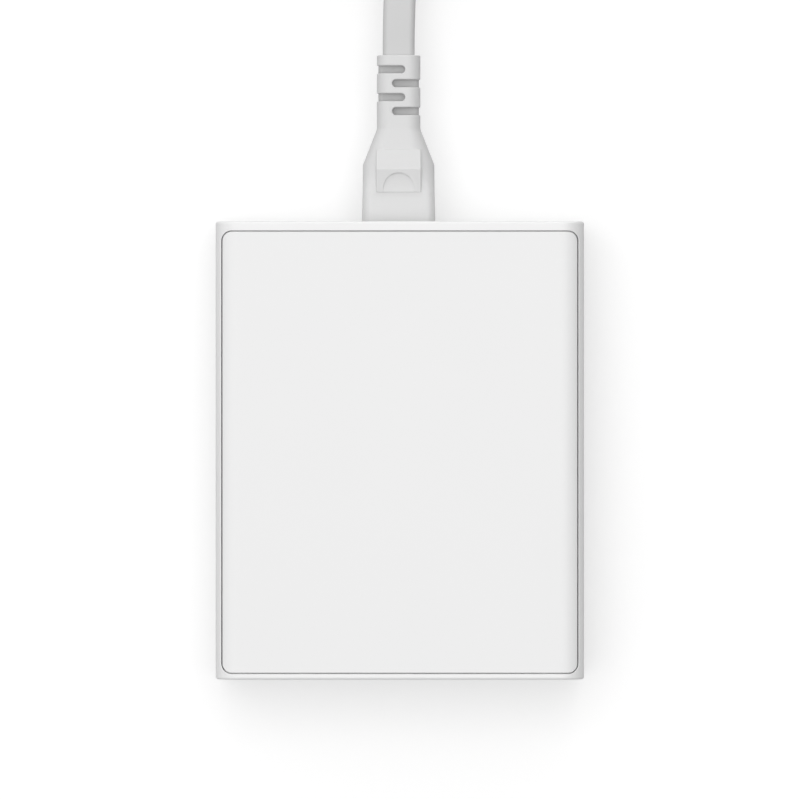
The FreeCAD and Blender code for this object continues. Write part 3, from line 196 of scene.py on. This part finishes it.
# Polyester tape: clear yellow, glossy and faintly wrinkled
winding_tape = finish_surface(
    *new_material("yellow_polyester_tape", IOR=1.57), "#E7C02A", "#D8AC1C",
    patch_mm=5, grain_mm=0.6, depth_mm=0.02, rough=(0.3, 0.42))
# Shrunk-on sleeve: dark blue and smooth
can_sleeve = finish_surface(
    *new_material("dark_shrink_sleeve", IOR=1.54), "#2A3550", "#222B42",
    patch_mm=4, grain_mm=0.5, depth_mm=0.01, rough=(0.3, 0.4))
# Moulded box: yellow and plain
film_box = finish_surface(
    *new_material("yellow_film_capacitor_box", IOR=1.55), "#D8BE3C", "#CDB032",
    patch_mm=4, grain_mm=0.3, depth_mm=0.01, rough=(0.4, 0.5))
# Dipped epoxy: blue, glossy, with the uneven skin of a dip
disc_epoxy = finish_surface(
    *new_material("blue_dipped_epoxy", IOR=1.55), "#2F62B0", "#27559C",
    patch_mm=2, grain_mm=0.8, depth_mm=0.03, rough=(0.28, 0.4))
# Fired ceramic: off-white, with a half gloss
fuse_ceramic = finish_surface(
    *new_material("fuse_ceramic", IOR=1.7), "#E3DFD2", "#D7D2C3",
    patch_mm=2, grain_mm=0.3, depth_mm=0.01, rough=(0.35, 0.5))
# Transfer-moulded epoxy: black and dull
package_epoxy = finish_surface(
    *new_material("black_moulded_epoxy", IOR=1.55), "#262627", "#1D1D1E",
    patch_mm=2, grain_mm=0.2, depth_mm=0.01, rough=(0.5, 0.62))
# Rolled aluminium: pale grey, with lines along the rolling direction
bare_aluminium = brushed_metal(
    "rolled_aluminium", "#D2D3D5", "#BFC0C2", (0.3, 0.45), stretch=(0.06, 1, 1), line_mm=0.3)
# Polyester film: cream and smooth
barrier_film = finish_surface(
    *new_material("polyester_film", IOR=1.6), "#E2DCC2", "#D8D1B4",
    patch_mm=8, grain_mm=0.5, depth_mm=0.01, rough=(0.3, 0.4))
# Filled silicone: soft grey-blue and dull
thermal_silicone = finish_surface(
    *new_material("thermal_silicone", IOR=1.41), "#8FA0AE", "#8292A0",
    patch_mm=3, grain_mm=0.4, depth_mm=0.02, rough=(0.6, 0.75))
dress(board_lacquer, "main_board", "port_board")
dress(contact_gold, "board_pins")
dress(ferrite, "transformer_core", "inductor_core", "line_filter_core", "output_inductors")
dress(winding_tape, "transformer_winding", "inductor_winding", "line_filter_windings")
dress(can_sleeve, "bulk_capacitors", "output_capacitors")
dress(film_box, "film_capacitor")
dress(disc_epoxy, "safety_capacitors", "surge_disc")
dress(fuse_ceramic, "fuse")
dress(package_epoxy, "bridge_rectifier", "switch_packages")
dress(bare_aluminium, "switch_heat_sink", "heat_spreader")
dress(barrier_film, "insulating_barrier")
dress(thermal_silicone, "thermal_pad")

# Connector of the lead: soft white PVC moulded over the contacts and the cord's end, with finger pads
# and a strain relief whose slots let it bend. PVC is a little greyer and duller than the housing.

# Moulded PVC: a soft white that is nearly matt, with the faint grain of its tool
moulded_pvc = finish_surface(
    *new_material("moulded_white_pvc", IOR=1.53), "#D7D7D7", "#D3D3D3",
    patch_mm=5, grain_mm=0.3, depth_mm=0.006, rough=(0.46, 0.58))
dress(moulded_pvc, "plug_overmould")

# Painted shade: the core at the bottom of the slots, the cord's jacket, is painted darker than the cord
# itself, for the shade deep in the slots
SLOT_SHADE_COLOUR = "#BABABA"
SLOT_SHADE_MIDDLE = (-0.25 * MM, 74 * MM, 15.15 * MM)
SLOT_SHADE_REACH = (4.3 * MM, 7.5 * MM, 1.25 * MM)
pvc_base = moulded_pvc.node_tree.nodes["Principled BSDF"].inputs["Base Color"]
spot = add_node(moulded_pvc, "ShaderNodeTexCoord").outputs["Object"]
spot_axes = add_node(moulded_pvc, "ShaderNodeSeparateXYZ", {"Vector": spot}).outputs
slot_shade_mask = 1.0
# A box round the core inside the slots, where the painted shade goes
for axis, middle, reach in zip("XYZ", SLOT_SHADE_MIDDLE, SLOT_SHADE_REACH):
    near = add_node(moulded_pvc, "ShaderNodeMath", {
        0: spot_axes[axis], 1: middle, 2: reach}, operation="COMPARE").outputs[0]
    slot_shade_mask = add_node(moulded_pvc, "ShaderNodeMath", {
        0: slot_shade_mask, 1: near}, operation="MULTIPLY").outputs[0]
# Painted shade: inside that box the moulding's colour gives way to the darker slot colour
slot_shade_mix = add_node(moulded_pvc, "ShaderNodeMix", {
    "Factor": slot_shade_mask, 6: pvc_base.links[0].from_socket, 7: linear(SLOT_SHADE_COLOUR)}, data_type="RGBA")
moulded_pvc.node_tree.links.new(slot_shade_mix.outputs[2], pvc_base)

# Cord: flat two-core cord with an extruded white PVC jacket, nearly rectangular in section. It leaves
# the strain relief flat, drops to the surface, and turns on its edge into a neat tied coil.
CORD_WIDTH, CORD_THICKNESS, CORD_ROUND = 6.6 * MM, 3.5 * MM, 1.2 * MM
TURN_PLAY = 0.3 * MM
TURNS_IN_LAYER = 4
MIDDLE_TURN = 36 * MM
TURN_STEP = CORD_THICKNESS + TURN_PLAY
OUTER_TURN = MIDDLE_TURN + (TURNS_IN_LAYER - 1) / 2 * TURN_STEP
COIL_OUTSIDE = MIDDLE_TURN + TURNS_IN_LAYER / 2 * TURN_STEP
TIE_THICKNESS = 0.6 * MM
LOWER_LAYER = TIE_THICKNESS + (CORD_WIDTH + TURN_PLAY) / 2
UPPER_LAYER = LOWER_LAYER + CORD_WIDTH + TURN_PLAY
EXIT = (-0.25 * MM, 81.8 * MM, 15.15 * MM)
PLUG = (20.5 * MM, 184 * MM, 6.85 * MM)
COIL_X, COIL_Y = PLUG[0] - OUTER_TURN, 150 * MM
LEAD_END = COIL_Y - math.sqrt(COIL_OUTSIDE ** 2 - (COIL_X - EXIT[0]) ** 2)
TAIL_START = COIL_Y + math.sqrt(COIL_OUTSIDE ** 2 - OUTER_TURN ** 2)
POINTS_PER_TURN = 16
FIRST_POINT = -1.5
FLAT, ON_EDGE = math.radians(90), 0.0
LEAD_TWIST, COIL_END_TWIST, TAIL_TWIST = 0.8 * FLAT, 0.25 * FLAT, 0.9 * FLAT
LEAD_RUN, TAIL_RUN = 0.35, 0.62
LEAD_SWAY, LEAD_EASE = 1.25 * MM, 2 * MM


def between(start, end, share):
    """The value at a share of the way from start to end."""
    return start + share * (end - start)


def coil_points():
    """Turns from the outside in on the upper layer, then from the inside out on the lower one.

    Half a turn round, where the tie is, the turns lie evenly about the middle one.
    """
    turns = 2 * TURNS_IN_LAYER
    for number in range(turns * POINTS_PER_TURN + 2):
        turn = (number + FIRST_POINT) / POINTS_PER_TURN
        inward = min(turn, turns - turn) - 0.5
        radius = (OUTER_TURN - TURN_STEP * inward) / math.cos(math.pi / POINTS_PER_TURN)
        step_down = min(max(2 * (turn - TURNS_IN_LAYER) + 0.5, 0), 1)
        height = between(UPPER_LAYER, LOWER_LAYER, step_down * step_down * (3 - 2 * step_down))
        angle = 2 * math.pi * turn
        twist = COIL_END_TWIST if number == 0 else ON_EDGE
        yield COIL_X + radius * math.cos(angle), COIL_Y + radius * math.sin(angle), height, twist


# Each point of the route is x, y, height, and how far the cord is twisted from standing on its edge
route = [
    (*EXIT, FLAT),
    (EXIT[0], between(EXIT[1], LEAD_END, LEAD_RUN), EXIT[2], FLAT),
    (EXIT[0] + LEAD_SWAY, LEAD_END - LEAD_EASE, UPPER_LAYER, LEAD_TWIST),
    *coil_points(),
    (PLUG[0], TAIL_START, LOWER_LAYER, COIL_END_TWIST),
    (PLUG[0], between(TAIL_START, PLUG[1], TAIL_RUN), PLUG[2], TAIL_TWIST),
    (*PLUG, FLAT),
]

bpy.ops.object.select_all(action="DESELECT")
cord_line = bpy.data.curves.new("mains_cord", "CURVE")
cord_line.dimensions = "3D"
cord_line.twist_mode = "Z_UP"
spline = cord_line.splines.new("NURBS")
spline.points.add(len(route) - 1)
for point, (x, y, z, twist) in zip(spline.points, route):
    point.co = (x, y, z, 1)
    point.tilt = twist
spline.order_u = 3
spline.use_endpoint_u = True
spline.resolution_u = 6
cord_line.extrude = (CORD_WIDTH - CORD_THICKNESS) / 2
cord_line.bevel_depth = CORD_THICKNESS / 2
cord_line.bevel_mode = "PROFILE"
cord_line.bevel_resolution = 10
corner_size = CORD_ROUND / cord_line.bevel_depth
for quarter in (0, 22.5, 45, 67.5, 90):
    bow = math.radians(quarter)
    across = 1 - corner_size + corner_size * math.cos(bow)
    up = 1 - corner_size + corner_size * math.sin(bow)
    cord_line.bevel_profile.points.add(across, up)
cord_line.bevel_profile.update()
cord_line.use_fill_caps = True
cord = bpy.data.objects.new("mains_cord", cord_line)
bpy.context.scene.collection.objects.link(cord)

# Extruded PVC: fine marks of the die run along it, so it is a touch glossier than the mouldings
cord_pvc = finish_surface(
    *new_material("extruded_white_pvc", IOR=1.53), "#C8C8C8", "#C4C4C4",
    patch_mm=8, grain_mm=0.5, depth_mm=0.008, rough=(0.42, 0.52))
cord_line.materials.append(cord_pvc)
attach(cord, "root")
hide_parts("cord_lead", "cord_coil", "cord_tail")

# Coil tie: a hook-and-loop strap, cut from woven polyester webbing and closed round the coil, with its
# round-cornered end lapped over the top and down the inner side.
STRAP_BEND = 2.4 * MM
STRAP_PULL = 0.4 * MM
LAP_LIFT = TIE_THICKNESS + 0.05 * MM
LAP_TRIM = 5 * MM
LAP_CORNER = 1.8 * MM
SELVEDGE_ROUND = 0.15 * MM
SMOOTH_UP_TO = math.radians(40)
WEAVE_PITCH, WEAVE_DEPTH = 0.8 * MM, 0.12 * MM


def pick(mesh_parts, wanted):
    """Select just the faces, edges or vertices that a test picks, in edit mode."""
    bpy.ops.mesh.select_all(action="DESELECT")
    for part in mesh_parts:
        part.select_set(wanted(part))


tie_low, tie_high = (mathutils.Vector(corner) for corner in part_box("coil_tie"))
tie_low.x += STRAP_PULL
tie_high.x -= STRAP_PULL
tie_size = tie_high - tie_low
bpy.ops.object.select_all(action="DESELECT")
bpy.ops.mesh.primitive_cube_add(size=1, location=(tie_low + tie_high) / 2, scale=tie_size)
strap = bpy.context.object
strap.name = "coil_strap"
bpy.ops.object.transform_apply(location=True, rotation=True, scale=True)

# The block becomes a band: its two ends come off and its four long edges are bent round
bpy.ops.object.mode_set(mode="EDIT")
shape = bmesh.from_edit_mesh(strap.data)
bpy.ops.mesh.select_mode(type="FACE")
pick(shape.faces, lambda face: abs(face.normal.y) > 0.9)
bpy.ops.mesh.delete(type="ONLY_FACE")
bpy.ops.mesh.select_mode(type="EDGE")
pick(shape.edges, lambda edge: abs(edge.verts[0].co.y - edge.verts[1].co.y) > tie_size.y / 2)
bpy.ops.mesh.bevel(offset=STRAP_BEND, segments=6)

# The lapped end: a second layer on the top and the inner side, cut shorter and rounded at its corners
bpy.ops.mesh.select_mode(type="FACE")
shape = bmesh.from_edit_mesh(strap.data)
band_middle = (tie_low + tie_high) / 2
pick(shape.faces, lambda face: face.normal.x > -0.01 and face.normal.z > -0.01)
bpy.ops.mesh.duplicate()
bpy.ops.transform.shrink_fatten(value=LAP_LIFT)
shape = bmesh.from_edit_mesh(strap.data)
bpy.ops.mesh.select_mode(type="VERT")
lap_top = tie_high.z + LAP_LIFT
pick(shape.verts, lambda vert: vert.co.z > lap_top - 0.1 * MM and vert.co.x < band_middle.x)
bpy.ops.transform.translate(value=(LAP_TRIM, 0, 0))
bpy.ops.mesh.bevel(offset=LAP_CORNER, segments=5, affect="VERTICES")
bpy.ops.object.mode_set(mode="OBJECT")
webbing = strap.modifiers.new("webbing", "SOLIDIFY")
webbing.thickness = TIE_THICKNESS
webbing.offset = -1
selvedge = strap.modifiers.new("selvedge", "BEVEL")
selvedge.width = SELVEDGE_ROUND
selvedge.segments = 2
selvedge.limit_method = "ANGLE"
for modifier in ("webbing", "selvedge"):
    bpy.ops.object.modifier_apply(modifier=modifier)
bpy.ops.object.shade_smooth_by_angle(angle=SMOOTH_UP_TO)

# Woven polyester: threads over and under each other; drawn at 0.8 mm, coarser than real, to show
strap_weave, weave_shader, weave_place = new_material(
    "woven_polyester_strap", IOR=1.5, Sheen_Weight=0.3, Roughness=0.82)
weave_axes = add_node(strap_weave, "ShaderNodeSeparateXYZ", {"Vector": weave_place})
along = add_node(strap_weave, "ShaderNodeMath", {
    0: weave_axes.outputs["X"], 1: weave_axes.outputs["Z"]}, operation="ADD")
threads = []
for direction in (weave_axes.outputs["Y"], along.outputs[0]):
    phase = add_node(strap_weave, "ShaderNodeMath", {
        0: direction, 1: 2 * math.pi / WEAVE_PITCH}, operation="MULTIPLY")
    wave = add_node(strap_weave, "ShaderNodeMath", {0: phase.outputs[0]}, operation="SINE")
    threads.append(wave.outputs[0])
crossing = add_node(strap_weave, "ShaderNodeMath", {0: threads[0], 1: threads[1]}, operation="MULTIPLY")
relief = add_node(strap_weave, "ShaderNodeMapRange", {
    "Value": crossing.outputs[0], "From Min": -1.0, "From Max": 1.0})
thread_colour = add_node(strap_weave, "ShaderNodeMix", {
    "Factor": relief.outputs["Result"], 6: linear("#B4B4B5"), 7: linear("#D2D2D2")}, data_type="RGBA")
thread_bump = add_node(strap_weave, "ShaderNodeBump", {
    "Height": relief.outputs["Result"], "Distance": WEAVE_DEPTH, "Strength": 0.7})
weave_links = strap_weave.node_tree.links
weave_links.new(thread_colour.outputs[2], weave_shader.inputs["Base Color"])
weave_links.new(thread_bump.outputs["Normal"], weave_shader.inputs["Normal"])
strap.data.materials.append(strap_weave)
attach(strap, "root")
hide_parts("coil_tie")

# Mains plug: a flat two-pole plug, moulded round the cord's far end in the same PVC as the connector.
# Its nickel-plated pins stand in black sleeves that leave only their tips bare.
sleeve_plastic = finish_surface(
    *new_material("black_pin_sleeve", IOR=1.53), "#222223", "#19191A",
    patch_mm=2, grain_mm=0.2, depth_mm=0.006, rough=(0.4, 0.5))
dress(moulded_pvc, "mains_plug_body")
dress(sleeve_plastic, "mains_pin_sleeves")

# Floor: a plain white sweep, matt and a little overexposed, so only the object's soft shadow shows on
# it. The camera sees a whiter floor than the object does, which keeps the object's sides in shade.
FLOOR_SIZE = 6.0
FLOOR_SEEN, FLOOR_BOUNCE, FLOOR_GLOW = 0.62, 0.33, 0.446
bpy.ops.mesh.primitive_plane_add(size=FLOOR_SIZE)
floor = bpy.context.object
floor.name = "studio_floor"
floor_paint, floor_shader, _ = new_material("white_floor_paint", Roughness=0.9, Specular_IOR_Level=0.0)
ray = add_node(floor_paint, "ShaderNodeLightPath").outputs
mirrored = add_node(floor_paint, "ShaderNodeMath", {
    0: ray["Is Glossy Ray"], 1: ray["Is Transmission Ray"]}, operation="MAXIMUM")
seen = add_node(floor_paint, "ShaderNodeMath", {
    0: ray["Is Camera Ray"], 1: mirrored.outputs[0]}, operation="MAXIMUM").outputs[0]
floor_white = add_node(floor_paint, "ShaderNodeMapRange", {
    "Value": seen, "To Min": FLOOR_BOUNCE, "To Max": FLOOR_SEEN})
floor_glow = add_node(floor_paint, "ShaderNodeMath", {0: seen, 1: FLOOR_GLOW}, operation="MULTIPLY")
floor_links = floor_paint.node_tree.links
floor_links.new(floor_white.outputs["Result"], floor_shader.inputs["Base Color"])
floor_links.new(floor_glow.outputs[0], floor_shader.inputs["Emission Strength"])
floor_shader.inputs["Emission Color"].default_value = (1, 1, 1, 1)
floor.data.materials.append(floor_paint)

# Light: a white tent that is brighter overhead, behind the charger and to its left, with a soft panel
# above and a low one behind, which brings out the slopes of the connector.
TENT_LEVEL = 0.43
TENT_LEAN = (-0.45, 0.42, 0.6)
world = bpy.data.worlds.new("white_tent")
bpy.context.scene.world = world
world.use_nodes = True
tent = world.node_tree.nodes["Background"]
tent.inputs["Color"].default_value = (1, 1, 1, 1)
# For a world, Generated is the direction that a ray comes from
towards = add_node(world, "ShaderNodeTexCoord").outputs["Generated"]
lean = add_node(world, "ShaderNodeVectorMath", {0: towards, 1: TENT_LEAN}, operation="DOT_PRODUCT")
glow = add_node(world, "ShaderNodeMath", {
    0: lean.outputs["Value"], 1: TENT_LEVEL, 2: TENT_LEVEL}, operation="MULTIPLY_ADD")
world.node_tree.links.new(glow.outputs[0], tent.inputs["Strength"])


def soft_panel(name, place, size, power):
    """A square area lamp that faces the charger."""
    lamp = bpy.data.lights.new(name, "AREA")
    lamp.shape = "SQUARE"
    lamp.size = size
    lamp.energy = power
    panel = bpy.data.objects.new(name, lamp)
    bpy.context.scene.collection.objects.link(panel)
    panel.location = place
    aim = -panel.location.normalized()
    panel.rotation_euler = aim.to_track_quat("-Z", "Y").to_euler()


soft_panel("overhead_panel", (-0.05, 0.15, 1.6), 1.2, 10.9)
soft_panel("back_panel", (0.0, 1.5, 0.22), 0.8, 6.5)

# Camera: straight above, far enough away that the sides hardly show. The picture spans the view's
# width at the height of the view's plane, between the connector and the cover's top.
VIEW_WIDTH = 165.1 * MM
VIEW_PLANE = 24.5 * MM
VIEW_DISTANCE = 2.0
VIEW_CENTRE = (0.03 * MM, 10.39 * MM)
camera_data = bpy.data.cameras.new("overhead_camera")
camera_data.sensor_width = 36
camera_data.lens = camera_data.sensor_width * VIEW_DISTANCE / VIEW_WIDTH
camera_data.clip_start = 0.05
camera_data.clip_end = 20
camera = bpy.data.objects.new("overhead_camera", camera_data)
bpy.context.scene.collection.objects.link(camera)
camera.location = (*VIEW_CENTRE, VIEW_PLANE + VIEW_DISTANCE)
bpy.context.scene.camera = camera
bpy.context.scene.view_settings.view_transform = "Standard"
